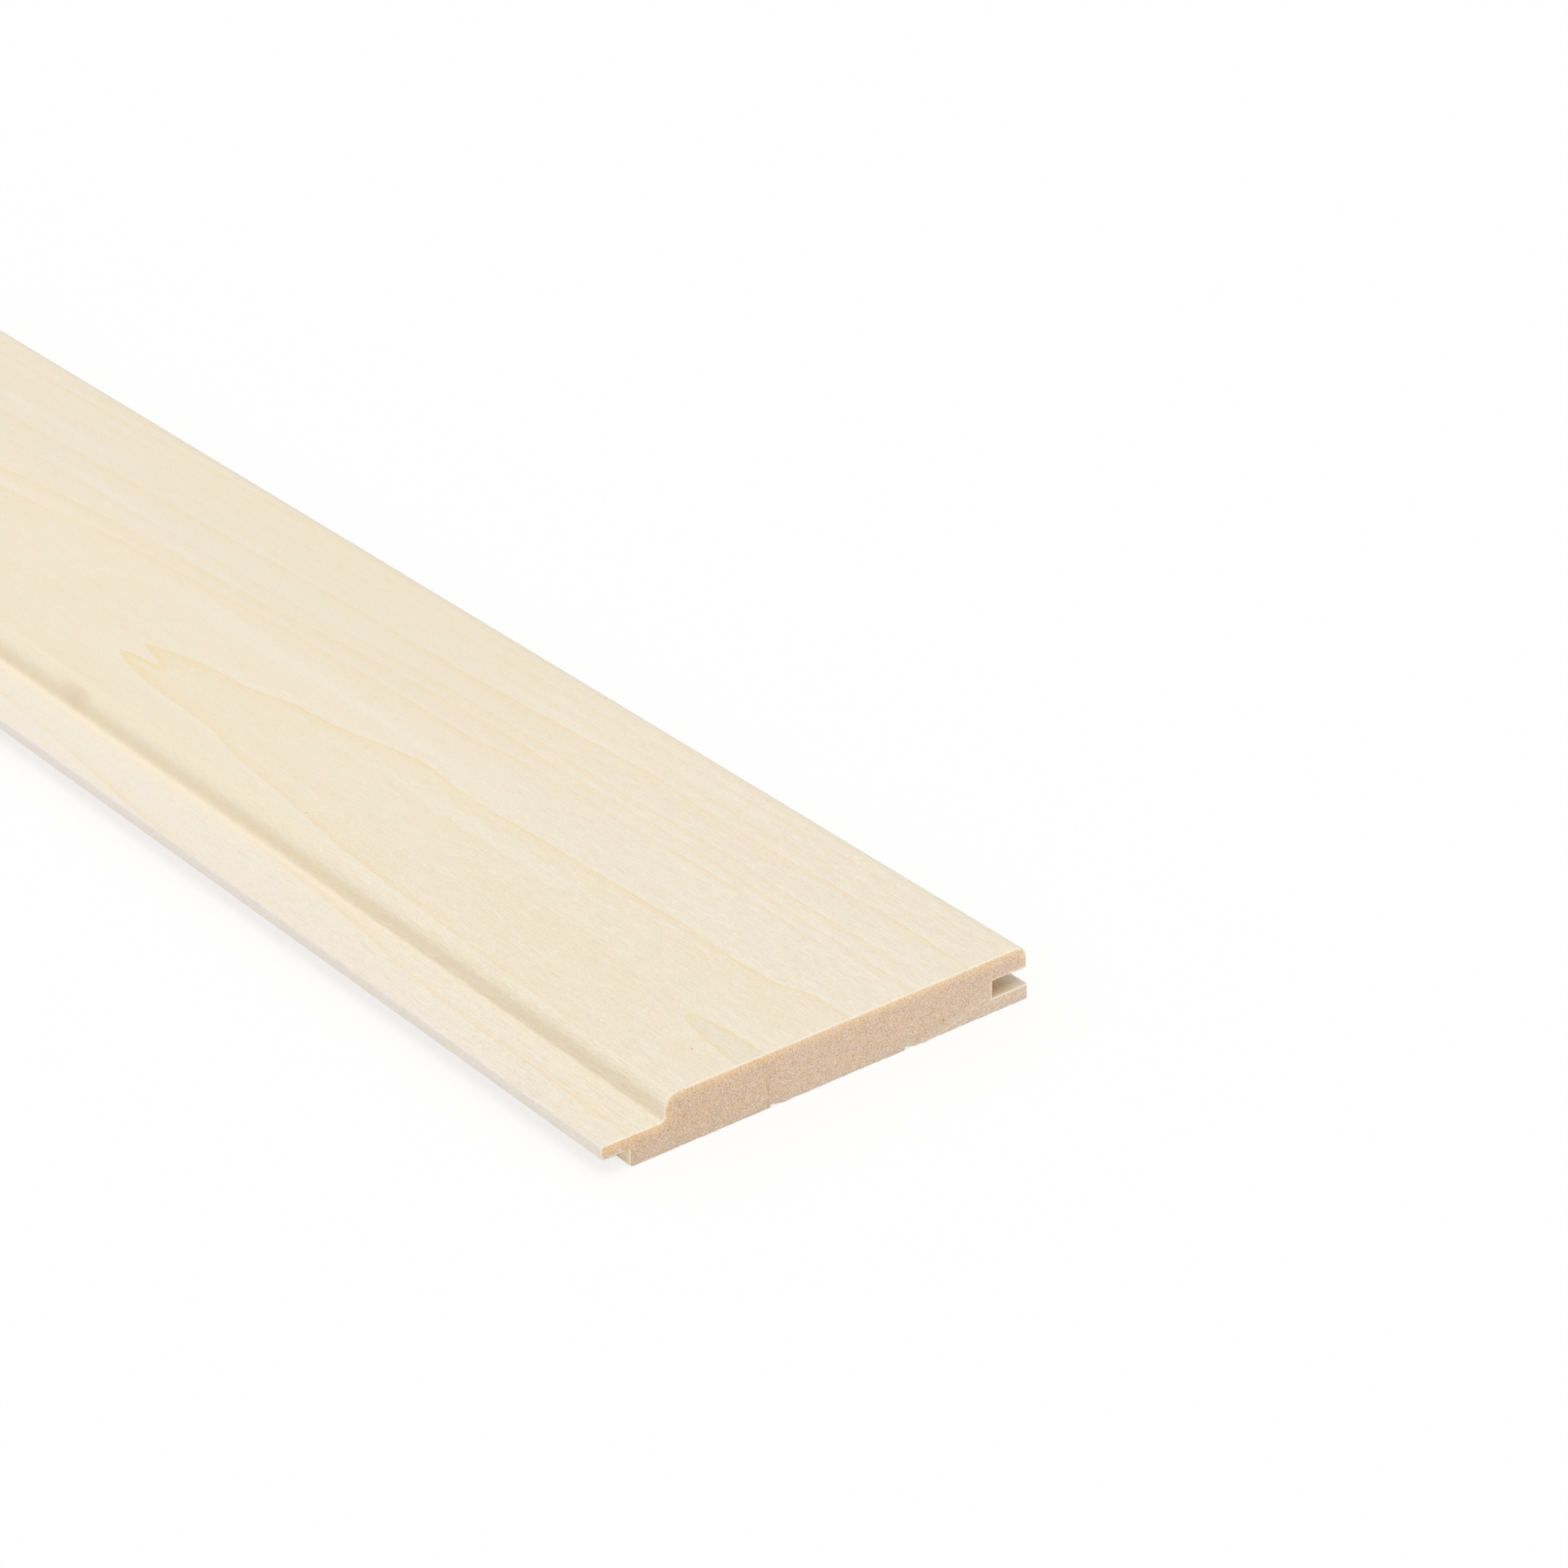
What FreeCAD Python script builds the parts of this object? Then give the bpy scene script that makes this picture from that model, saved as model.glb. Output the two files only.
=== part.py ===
"""A tongue and groove wall and ceiling board: one length of solid wood, milled along both long edges.

The board lies on its back with its show face up. X runs along the length, the tongue points to -Y,
the groove opens to +Y, and the origin is at the middle of the back. All sizes are in millimetres.
A place on the section is written (across, up): across from the tip of the tongue, up from the back.
"""
import FreeCAD
import Part
import Sketcher
import os

NAME = "tongue_and_groove_board"

SIZES = {
    "board_length": (1800.0, "length as sold, cut square at both ends"),
    "board_width": (125.0, "tip of the tongue to the end of the lower groove lip"),
    "board_thickness": (15.0, "back to show face"),
    "tongue_length": (7.8, "how far the tongue stands out from the edge below it"),
    "tongue_thickness": (3.6, "thickness of the tongue"),
    "tongue_top": (8.5, "height of the tongue's upper face and of the nailing lip behind it"),
    "lip_width": (17.6, "tip of the tongue to the foot of the shoulder"),
    "shoulder_lean": (0.5, "how far the shoulder leans back over its height"),
    "shoulder_cove": (1.4, "hollow radius at the foot of the shoulder"),
    "shoulder_round": (3.5, "radius from the shoulder to the show face"),
    "groove_edge_round": (2.8, "radius from the groove edge to the show face"),
    "clearance_over_tongue": (0.3, "groove roof above the next board's tongue"),
    "clearance_under_tongue": (0.8, "groove floor below the next board's tongue"),
    "clearance_at_tip": (3.0, "groove bottom beyond the tongue's length"),
    "groove_corner_round": (0.4, "hollow radius of both corners of the groove's bottom"),
    "upper_lip_setback": (0.5, "upper groove lip behind the lower one"),
    "nick_first": (47.8, "tip of the tongue to the steep side of the first relief nick"),
    "nick_spacing": (39.7, "one relief nick to the next"),
    "nick_count": (2, "relief nicks in the back"),
    "nick_width": (3.0, "width of a relief nick"),
    "nick_steep_run": (0.2, "width of the steep side of a relief nick"),
    "nick_depth": (0.8, "depth of a relief nick behind its steep side"),
    "back_edge_round": (1.0, "radius on the back's edge below the tongue"),
    "tongue_tip_round": (0.6, "radius on both edges of the tongue's tip"),
}

GROOVE_ROOF = "Sizes.tongue_top + Sizes.clearance_over_tongue"
GROOVE_FLOOR = "Sizes.tongue_top - Sizes.tongue_thickness - Sizes.clearance_under_tongue"
GROOVE_BOTTOM = "Sizes.board_width - Sizes.tongue_length - Sizes.clearance_at_tip"
TONGUE_UNDERSIDE = "Sizes.tongue_top - Sizes.tongue_thickness"
UPPER_LIP_END = "Sizes.board_width - Sizes.upper_lip_setback"
SHOULDER_TOP = "Sizes.lip_width + Sizes.shoulder_lean"
TOLERANCE = 0.001


def fill_sheet(document):
    sheet = document.addObject("Spreadsheet::Sheet", "Sizes")
    for row, (alias, (value, meaning)) in enumerate(SIZES.items(), start=1):
        sheet.set(f"A{row}", alias)
        sheet.set(f"B{row}", str(value))
        sheet.set(f"C{row}", meaning)
        sheet.setAlias(f"B{row}", alias)
    document.recompute()
    return sheet


def origin_feature(body, role):
    return next(item for item in body.Origin.OriginFeatures if item.Role == role)


def section_sketch(body, name, corners):
    """A closed outline square to the length, with each corner tied to the sheet.

    In a sketch's constraints a side's start is point 1 and its end point 2, the horizontal axis is
    geometry -1, the vertical axis is geometry -2, and the sketch's origin is the start of -1.
    """
    sketch = body.newObject("Sketcher::SketchObject", name)
    sketch.AttachmentSupport = [(origin_feature(body, "YZ_Plane"), "")]
    sketch.MapMode = "FlatFace"
    sketch.setExpression("AttachmentOffset.Base.x", "-Sizes.board_width / 2")
    values = [[float(sketch.evalExpression(size)) for size in corner] for corner in corners]
    points = [FreeCAD.Vector(across, up, 0) for across, up in values]
    for start, end in zip(points, points[1:] + points[:1]):
        sketch.addGeometry(Part.LineSegment(start, end), False)
    count = len(corners)
    for side in range(count):
        sketch.addConstraint(Sketcher.Constraint("Coincident", side, 2, (side + 1) % count, 1))
    for side, (corner, value) in enumerate(zip(corners, values)):
        tie_corner(sketch, side, "DistanceX", -2, corner[0], value[0])
        tie_corner(sketch, side, "DistanceY", -1, corner[1], value[1])
    return sketch


def tie_corner(sketch, side, direction, axis, size, value):
    """Hold the start of one side on a sketch axis, or at a size from the sheet."""
    if size == "0":
        sketch.addConstraint(Sketcher.Constraint("PointOnObject", side, 1, axis))
        return
    number = sketch.addConstraint(Sketcher.Constraint(direction, -1, 1, side, 1, value))
    sketch.setExpression(f"Constraints[{number}]", size)


def planed_blank(body):
    sketch = section_sketch(body, "blank_section", [
        ("0", "0"),
        ("Sizes.board_width", "0"),
        ("Sizes.board_width", "Sizes.board_thickness"),
        ("0", "Sizes.board_thickness"),
    ])
    blank = body.newObject("PartDesign::Pad", "planed_blank")
    blank.Profile = sketch
    blank.SideType = "Symmetric"
    blank.setExpression("Length", "Sizes.board_length")
    return blank


def milled_away(body, name, corners):
    """Cut one outline away along the whole length, as a cutter head does."""
    sketch = section_sketch(body, f"{name}_section", corners)
    cut = body.newObject("PartDesign::Pocket", name)
    cut.Profile = sketch
    cut.SideType = "Symmetric"
    cut.setExpression("Length", "Sizes.board_length")
    return cut


def tongue_edge(body):
    milled_away(body, "shoulder_rebate", [
        ("0", "Sizes.tongue_top"),
        ("Sizes.lip_width", "Sizes.tongue_top"),
        (SHOULDER_TOP, "Sizes.board_thickness"),
        ("0", "Sizes.board_thickness"),
    ])
    milled_away(body, "back_rebate", [
        ("0", "0"),
        ("Sizes.tongue_length", "0"),
        ("Sizes.tongue_length", TONGUE_UNDERSIDE),
        ("0", TONGUE_UNDERSIDE),
    ])


def groove_edge(body):
    milled_away(body, "upper_lip_rebate", [
        (UPPER_LIP_END, GROOVE_FLOOR),
        ("Sizes.board_width", GROOVE_FLOOR),
        ("Sizes.board_width", "Sizes.board_thickness"),
        (UPPER_LIP_END, "Sizes.board_thickness"),
    ])
    milled_away(body, "groove", [
        (GROOVE_BOTTOM, GROOVE_FLOOR),
        ("Sizes.board_width", GROOVE_FLOOR),
        ("Sizes.board_width", GROOVE_ROOF),
        (GROOVE_BOTTOM, GROOVE_ROOF),
    ])


def relief_nicks(body):
    """Shallow nicks in the back that let the board lie flat: a steep side, then a slope out."""
    nick = milled_away(body, "relief_nick", [
        ("Sizes.nick_first", "0"),
        ("Sizes.nick_first + Sizes.nick_width", "0"),
        ("Sizes.nick_first + Sizes.nick_steep_run", "Sizes.nick_depth"),
    ])
    nicks = body.newObject("PartDesign::LinearPattern", "relief_nicks")
    nicks.Originals = [nick]
    nicks.Direction = (origin_feature(body, "Y_Axis"), [""])
    nicks.Mode = "Spacing"
    nicks.setExpression("Offset", "Sizes.nick_spacing")
    nicks.setExpression("Occurrences", "Sizes.nick_count")
    body.Tip = nicks


def rounded(body, name, radius, corners):
    """Round the long edges that pass through the given corners of the section."""
    body.Document.recompute()
    base = body.Tip
    half_width = base.evalExpression("Sizes.board_width / 2")
    places = [
        (float(base.evalExpression(across)) - float(half_width), float(base.evalExpression(up)))
        for across, up in corners
    ]
    edges = [
        f"Edge{number}"
        for number, edge in enumerate(base.Shape.Edges, start=1)
        if any(runs_through(edge, y, z) for y, z in places)
    ]
    if len(edges) != len(corners):
        raise RuntimeError(f"{name}: {len(edges)} edges found for {len(corners)} corners")
    fillet = body.newObject("PartDesign::Fillet", name)
    fillet.Base = (base, edges)
    fillet.setExpression("Radius", f"Sizes.{radius}")
    body.Tip = fillet


def runs_through(edge, y, z):
    return all(abs(v.Y - y) < TOLERANCE and abs(v.Z - z) < TOLERANCE for v in edge.Vertexes)


def round_edges(body):
    rounded(body, "shoulder_round", "shoulder_round", [(SHOULDER_TOP, "Sizes.board_thickness")])
    rounded(body, "shoulder_cove", "shoulder_cove", [("Sizes.lip_width", "Sizes.tongue_top")])
    rounded(body, "groove_edge_round", "groove_edge_round", [(UPPER_LIP_END, "Sizes.board_thickness")])
    rounded(body, "groove_corner_round", "groove_corner_round", [
        (GROOVE_BOTTOM, GROOVE_FLOOR),
        (GROOVE_BOTTOM, GROOVE_ROOF),
    ])
    rounded(body, "back_edge_round", "back_edge_round", [("Sizes.tongue_length", "0")])
    rounded(body, "tongue_tip_round", "tongue_tip_round", [
        ("0", "Sizes.tongue_top"),
        ("0", TONGUE_UNDERSIDE),
    ])


def check(document, body):
    """Stop before anything is written if a feature failed or the solid is not sound."""
    for item in document.Objects:
        if "Invalid" in item.State or "Error" in item.State:
            raise RuntimeError(f"{item.Name}: {item.State}")
    shape = body.Shape
    if shape.isNull() or not shape.isValid() or len(shape.Solids) != 1:
        raise RuntimeError(f"{body.Label} is not one sound solid")


def main():
    document = FreeCAD.newDocument("Board")
    fill_sheet(document)
    body = document.addObject("PartDesign::Body", "Body")
    body.Label = NAME
    planed_blank(body)
    tongue_edge(body)
    groove_edge(body)
    relief_nicks(body)
    round_edges(body)
    document.recompute()
    check(document, body)
    os.makedirs("parts", exist_ok=True)
    body.Shape.exportStep(f"parts/{body.Label}.step")
    box = body.Shape.BoundBox
    print(f"{body.Label}: {box.XLength:.2f} x {box.YLength:.2f} x {box.ZLength:.2f} mm, "
          f"{body.Shape.Volume / 1000:.1f} cm3, {len(body.Shape.Faces)} faces")


main()
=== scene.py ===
"""Dresses a tongue and groove board: growth rings, planed faces, sawn ends and torn fibres.

A place on the board is written (along, across, up) in millimetres, as a joiner would measure it:
along from the sawn end that faces the camera, across from the tip of the tongue, up from the back.
Every size in a property group and every mesh is in metres.
"""
import itertools
import math

import bpy
import numpy as np
from bpy.props import FloatProperty, FloatVectorProperty, IntProperty, PointerProperty
from mathutils import Matrix, Vector, geometry


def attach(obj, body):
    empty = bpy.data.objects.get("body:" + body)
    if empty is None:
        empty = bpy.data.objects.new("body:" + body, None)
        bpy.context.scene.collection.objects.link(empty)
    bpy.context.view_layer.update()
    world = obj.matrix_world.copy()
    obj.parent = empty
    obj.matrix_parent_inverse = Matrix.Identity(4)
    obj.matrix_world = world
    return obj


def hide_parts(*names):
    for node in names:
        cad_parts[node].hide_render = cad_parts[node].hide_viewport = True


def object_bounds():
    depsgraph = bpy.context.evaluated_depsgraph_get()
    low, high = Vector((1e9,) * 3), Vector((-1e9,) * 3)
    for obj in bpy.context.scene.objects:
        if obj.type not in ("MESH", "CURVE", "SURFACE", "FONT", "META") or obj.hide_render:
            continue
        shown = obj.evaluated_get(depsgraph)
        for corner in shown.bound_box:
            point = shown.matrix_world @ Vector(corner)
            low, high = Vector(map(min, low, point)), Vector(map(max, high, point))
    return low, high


bl_info = {
    "name": "Tongue and groove board",
    "version": (1, 0, 0),
    "blender": (4, 5, 0),
    "location": "3D View > Sidebar > Board",
    "description": "Makes a milled board's wood: rings, planed faces, sawn ends and torn fibres",
    "category": "Object",
}

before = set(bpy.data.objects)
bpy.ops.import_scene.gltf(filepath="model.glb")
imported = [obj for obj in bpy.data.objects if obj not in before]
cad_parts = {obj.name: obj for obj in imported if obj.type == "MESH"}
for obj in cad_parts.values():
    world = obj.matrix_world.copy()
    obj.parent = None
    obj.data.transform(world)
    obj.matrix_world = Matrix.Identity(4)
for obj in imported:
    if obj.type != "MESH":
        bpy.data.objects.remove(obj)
cad_low, cad_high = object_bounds()

NODE = "tongue_and_groove_board"
BODY = "root"
MM = 0.001
FACE_FINISH, END_FINISH = 0, 1

# How the rings run on the show face, drawn as (along, across). A ring that the planer cut
# through shows as one line there, and nested rings show as arches with their tips up the board.
ARCH_MIDDLE = (
    (0, 45.3), (60, 44.3), (145, 44.5), (165, 46.5), (178, 46.2), (200, 44.5), (215, 45.6),
    (228, 43.9), (250, 43.0), (262, 42.2), (330, 42.5), (480, 45.0), (700, 52.0), (950, 58.0),
    (1200, 55.0), (1500, 47.0), (1800, 50.0),
)
# The ring number at the middle of the arches, which passes a whole number at each arch's tip.
ARCH_RISE = (
    (0, -0.028), (10, -0.024), (26, -0.004), (60, 0.2), (120, 0.35), (145, 0.43), (165, 0.44),
    (178, 0.53), (190, 0.64), (200, 0.69), (215, 0.78), (228, 0.85), (250, 0.89), (262, 0.94),
    (271, 0.98), (290, 1.06), (400, 1.5), (520, 2.02), (760, 3.1), (1010, 4.0), (1300, 5.15),
    (1560, 5.9), (1800, 7.0),
)
# The lines that the planer's cut shows on the face and on the lip, by the ring that each closes.
FACE_LINES = {
    2: ((0, 87.5), (80, 88), (140, 86.5), (155, 85.5), (170, 83), (200, 82.5), (260, 80),
        (320, 75), (352, 72), (360, 69), (390, 67)),
    3: ((0, 90.5), (90, 92), (140, 90.5), (170, 91), (200, 89.5), (240, 86.5), (290, 82),
        (340, 79.5), (360, 77), (400, 72)),
    4: ((0, 96.6), (30, 96), (50, 95.4), (90, 96.4), (110, 95.2), (150, 94.5), (200, 94),
        (250, 90), (420, 84)),
    5: ((0, 107.5), (30, 108), (80, 106), (130, 107), (160, 104.5), (200, 102.5), (260, 101),
        (320, 98), (410, 95)),
    6: ((0, 113.5), (150, 111.5), (300, 106), (410, 101)),
    7: ((0, 118.5), (150, 117), (300, 112), (410, 107)),
}
LIP_LINES = {
    7: ((0, -9), (60, -8), (140, -3), (200, 0.5), (215, 2), (240, 4.5), (280, 7), (340, 11)),
    6: ((0, 7.5), (60, 8), (95, 9.5), (110, 12), (140, 14), (190, 17), (280, 24), (340, 30)),
}
# Between these two places along the board the drawn lines give way to the rule for the rest.
DRAWN_REACH = (360, 500)
# Sections of a finely worked end, as (how far back in its band, how far its arris is worn).
END_SECTIONS = ((0.62, 0.0), (0.36, 0.0), (0.2, 0.03), (0.1, 0.16), (0.045, 0.45), (0.012, 0.85))
SHARP_ANGLE = math.radians(38)
# How strongly the line that ends each of the drawn rings shows.
LINE_STRENGTHS = {0: 0.65, 1: 1.0, 2: 0.65, 3: 0.6, 4: 0.55, 5: 0.85, 6: 0.3, 7: 0.4}
# Small marks in the wood as (along, across, radius).
PIN_SPECKS = ((12.5, 35.0, 0.22), (21.0, 77.0, 0.1), (163.0, 28.0, 0.15))


def length(name, description, millimetres):
    """A size in metres whose default is given in millimetres."""
    return FloatProperty(name=name, description=description, default=millimetres * MM,
                         min=0.0, precision=5, subtype="DISTANCE", unit="LENGTH")


def amount(name, description, value, low=0.0, high=1.0):
    return FloatProperty(name=name, description=description, default=value, min=low, max=high,
                         subtype="FACTOR")


def light(name, description, value):
    return FloatProperty(name=name, description=description, default=value, min=0.0)


def angle(name, description, degrees):
    return FloatProperty(name=name, description=description, default=math.radians(degrees),
                         subtype="ANGLE")


def colour(name, description, value):
    """A linear colour, given as the red, green and blue of a colour picker from 0 to 255."""
    return FloatVectorProperty(name=name, description=description, size=3, subtype="COLOR",
                               min=0.0, max=1.0, default=tuple(to_linear(v) for v in value))


def to_linear(value):
    part = value / 255
    return part / 12.92 if part <= 0.04045 else ((part + 0.055) / 1.055) ** 2.4


class BoardSizes(bpy.types.PropertyGroup):
    length: length("Length", "One sawn end to the other", (cad_high.x - cad_low.x) / MM)
    width: length("Width", "Tip of the tongue to the end of the lower lip",
                  (cad_high.y - cad_low.y) / MM)
    thickness: length("Thickness", "Back to show face", (cad_high.z - cad_low.z) / MM)
    tongue_length: length("Tongue length", "How far the tongue stands out below the lip", 7.8)
    tongue_underside: length("Tongue underside", "Height of the tongue's lower face", 4.9)
    tongue_top: length("Tongue top", "Height of the tongue's upper face and the lip", 8.5)
    lip_width: length("Lip width", "Tip of the tongue to the foot of the shoulder", 17.6)
    shoulder_lean: length("Shoulder lean", "How far the shoulder leans back", 0.5)
    shoulder_cove: length("Shoulder cove", "Hollow radius at the shoulder's foot", 1.4)
    shoulder_round: length("Shoulder round", "Radius from the shoulder to the face", 3.5)
    groove_edge_round: length("Groove edge round", "Radius from the groove edge to the face", 2.8)
    groove_roof: length("Groove roof", "Height of the groove's upper side", 8.8)
    groove_floor: length("Groove floor", "Height of the groove's lower side", 4.1)
    groove_bottom: length("Groove bottom", "Tip of the tongue to the groove's bottom", 114.2)
    groove_corner_round: length("Groove corner round", "Hollow radius in the groove", 0.4)
    upper_lip_end: length("Upper lip end", "Tip of the tongue to the upper lip's end", 124.5)
    nick_first: length("First nick", "Tip of the tongue to the first relief nick", 47.8)
    nick_spacing: length("Nick spacing", "One relief nick to the next", 39.7)
    nick_width: length("Nick width", "Width of a relief nick in the back", 3.0)
    nick_steep_run: length("Nick steep run", "Width of a nick's steep side", 0.2)
    nick_depth: length("Nick depth", "Depth of a relief nick", 0.8)
    back_edge_round: length("Back edge round", "Radius on the edge below the tongue", 1.0)
    tongue_tip_round: length("Tongue tip round", "Radius on both edges of the tongue", 0.6)


class WorkSizes(bpy.types.PropertyGroup):
    outline_step: length("Outline step", "Spacing of points round the section", 1.25)
    end_step: length("End step", "Spacing of points over a sawn end", 0.42)
    stations: IntProperty(name="Stations", description="Sections along the length", default=210)
    end_crowding: amount("End crowding", "How much closer the sections lie near the ends", 0.75)
    end_band: length("End band", "Length at each end that is worked finely", 2.6)
    arris_ease: length("Arris ease", "How far the sawn arris is worn back", 0.3)
    saw_depth: length("Saw depth", "Depth of the saw's marks in the end grain", 0.14)
    raised_grain: length("Raised grain", "How far the soft wood lies below the rings", 0.04)
    seed: IntProperty(name="Seed", description="Changes every irregular detail", default=7)


class RingSizes(bpy.types.PropertyGroup):
    depth: length("Ring depth", "One ring to the next, straight down from the face", 1.73)
    spread: FloatProperty(name="Arch spread", default=675e-6, min=1e-6, unit="AREA",
                          description="Square of the half width that one ring adds to an arch")


class WoodColours(bpy.types.PropertyGroup):
    planed: colour("Planed wood", "Show face", (241, 230, 208))
    lip: colour("Lip", "Paler wood of the lip, further up the board", (243, 236, 222))
    # Painted light: lifts the shade on the shoulder and on the worn sawn arris, and paints a
    # highlight along the shoulder's upper edge.
    foot: colour("Shoulder foot", "Bright wood at the shoulder's foot", (252, 238, 213))
    # Painted reflected light: a cool grey on the tongue's tip, as the white floor's light gives it;
    # on the face the same colour is silvery wood.
    tip: colour("Tongue tip", "Greyer wood, as along the tongue's tip", (241, 234, 230))
    # Painted shade: a darker tan in the shoulder's cove and a golden brown deep inside the groove,
    # standing in for their shade.
    painted_shade: colour("Sheltered wood", "Cove at the shoulder's foot", (206, 184, 150))
    groove: colour("Groove", "Deep inside the groove", (206, 156, 92))
    # Painted shade on the groove edge's round and at the groove's mouth; on the face further up the
    # board it is duller wood.
    edge: colour("Groove edge", "Duller wood, as above the groove", (226, 219, 206))
    warm: colour("Warm streak", "Broad tanned streaks", (239, 225, 199))
    cool: colour("Cool streak", "Broad silvery streaks", (244, 236, 220))
    heart: colour("Heart", "Inside the first arch", (235, 225, 206))
    under: colour("Under the tongue", "Rosy light below the tongue", (255, 231, 205))
    late: colour("Late wood", "Golden end of a ring", (243, 224, 180))
    # Painted shade: a darker tan patch on the shoulder's round.
    ring: colour("Ring line", "Where the planer cut the end of a ring", (243, 212, 150))
    shoulder_shade: colour("Stain", "Small tanned blotch on the shoulder", (206, 178, 132))
    fibre: colour("Fibre", "Fine dark fibres", (228, 214, 190))
    warm_fibre: colour("Warm fibre", "Fine yellow fibres", (250, 226, 182))
    # Fine light fibres, and painted light on the worn arris at each sawn end.
    light_fibre_and_highlight: colour("Light fibre", "Fine light fibres", (252, 244, 226))
    speck: colour("Speck", "Small brown specks", (196, 150, 112))
    back: colour("Back", "Rough planed back", (230, 214, 186))
    end_warm: colour("End grain", "Sawn end", (230, 197, 162))
    end_cool: colour("End grain, pinker", "Sawn end where it is pinker", (220, 195, 174))
    end_low: colour("End grain, lower", "Sawn end near the back", (206, 190, 174))
    end_dark: colour("End grain pore", "Dark pores in the sawn end", (196, 160, 124))
    end_light: colour("End grain light", "Torn light fibres in the sawn end", (248, 230, 210))
    end_rim: colour("End grain rim", "Orange line along the dressed side", (255, 217, 163))


class FibreSizes(bpy.types.PropertyGroup):
    spacing: length("Fibre spacing", "One torn fibre to the next", 0.16)
    length: length("Fibre length", "Longest torn fibre", 0.7)
    thickness: length("Fibre thickness", "Thickness of a fibre at its root", 0.3)
    setback: length("Fibre setback", "How far the roots stand back from the sawn end", 0.4)
    seed: IntProperty(name="Seed", description="Changes where the fibres stand", default=3)


class StageSizes(bpy.types.PropertyGroup):
    floor_radius: length("Floor radius", "Radius of the round floor", 9000)
    floor_colour: colour("Floor colour", "Pale studio floor", (253, 253, 253))
    floor_lift: amount("Floor lift", "How far the camera sees the floor lifted to white", 0.75)
    sky: light("Sky light", "Even light from all round", 0.65)
    lamp: light("Lamp", "Strength of the large soft lamp", 1.16)
    lamp_azimuth: angle("Lamp azimuth", "Where the lamp stands, turned from the tongue side", 57)
    lamp_elevation: angle("Lamp elevation", "How high the lamp stands", 72)
    lamp_spread: angle("Lamp spread", "How wide the lamp looks from the board", 40)


class CameraSizes(bpy.types.PropertyGroup):
    place: FloatVectorProperty(name="Place", default=(1.6651, -0.5947, 0.605), size=3,
                               subtype="TRANSLATION", unit="LENGTH",
                               description="Where the camera stands")
    azimuth: angle("Azimuth", "Turned from the tongue side towards the sawn end", 52.581)
    elevation: angle("Elevation", "How steeply the camera looks down", 28.461)
    roll: angle("Roll", "How far the camera leans to its left", -0.952)
    lens: FloatProperty(name="Lens", default=113.22, description="Focal length in millimetres")


def section_corners(s):
    """Corners of the section as (across, up, radius), counter-clockwise from the sawn end."""
    corners = [(s.tongue_length, 0, s.back_edge_round)]
    for steep_side in (s.nick_first, s.nick_first + s.nick_spacing):
        corners += [
            (steep_side, 0, 0),
            (steep_side + s.nick_steep_run, s.nick_depth, 0),
            (steep_side + s.nick_width, 0, 0),
        ]
    return corners + [
        (s.width, 0, 0),
        (s.width, s.groove_floor, 0),
        (s.groove_bottom, s.groove_floor, s.groove_corner_round),
        (s.groove_bottom, s.groove_roof, s.groove_corner_round),
        (s.upper_lip_end, s.groove_roof, 0),
        (s.upper_lip_end, s.thickness, s.groove_edge_round),
        (s.lip_width + s.shoulder_lean, s.thickness, s.shoulder_round),
        (s.lip_width, s.tongue_top, s.shoulder_cove),
        (0, s.tongue_top, s.tongue_tip_round),
        (0, s.tongue_underside, s.tongue_tip_round),
        (s.tongue_length, s.tongue_underside, 0),
    ]


def rounded_corner(before, corner, after, radius, step):
    """Points of the arc that rounds one corner, or the corner itself where it is sharp."""
    if radius == 0:
        return [corner]
    back, on = (before - corner).normalized(), (after - corner).normalized()
    half = back.angle(on) / 2
    centre = corner + (back + on).normalized() * radius / math.sin(half)
    start = corner + back * radius / math.tan(half) - centre
    end = corner + on * radius / math.tan(half) - centre
    turn = math.pi - 2 * half
    parts = max(4, math.ceil(radius * turn / step))
    return [
        centre + (start * math.sin(turn * (1 - k / parts)) + end * math.sin(turn * k / parts))
        / math.sin(turn)
        for k in range(parts + 1)
    ]


def section_outline(sizes, straight_step, arc_step):
    """Points round the section, closer together on its rounded corners."""
    corners = section_corners(sizes)
    places = [Vector((across, up)) for across, up, radius in corners]
    arcs = [
        rounded_corner(places[i - 1], place, places[(i + 1) % len(places)], corners[i][2], arc_step)
        for i, place in enumerate(places)
    ]
    outline = []
    for arc, following in zip(arcs, arcs[1:] + arcs[:1]):
        run = following[0] - arc[-1]
        parts = max(1, round(run.length / straight_step))
        outline += arc + [arc[-1] + run * k / parts for k in range(1, parts)]
    return np.array([tuple(point) for point in outline])


def divided(outline, step):
    """A finer outline through the same points, and where each old point now stands in it."""
    fine, kept = [], []
    for start, end in zip(outline, np.roll(outline, -1, axis=0)):
        parts = max(1, round(np.linalg.norm(end - start) / step))
        kept.append(len(fine))
        fine += [start + (end - start) * k / parts for k in range(parts)]
    return np.array(fine), kept


def inward(outline):
    """Unit vectors from each point of an outline into the wood."""
    ahead = np.roll(outline, -1, axis=0) - outline
    ahead /= np.linalg.norm(ahead, axis=1, keepdims=True)
    along = ahead + np.roll(ahead, 1, axis=0)
    along /= np.linalg.norm(along, axis=1, keepdims=True)
    return np.column_stack([-along[:, 1], along[:, 0]])


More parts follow.
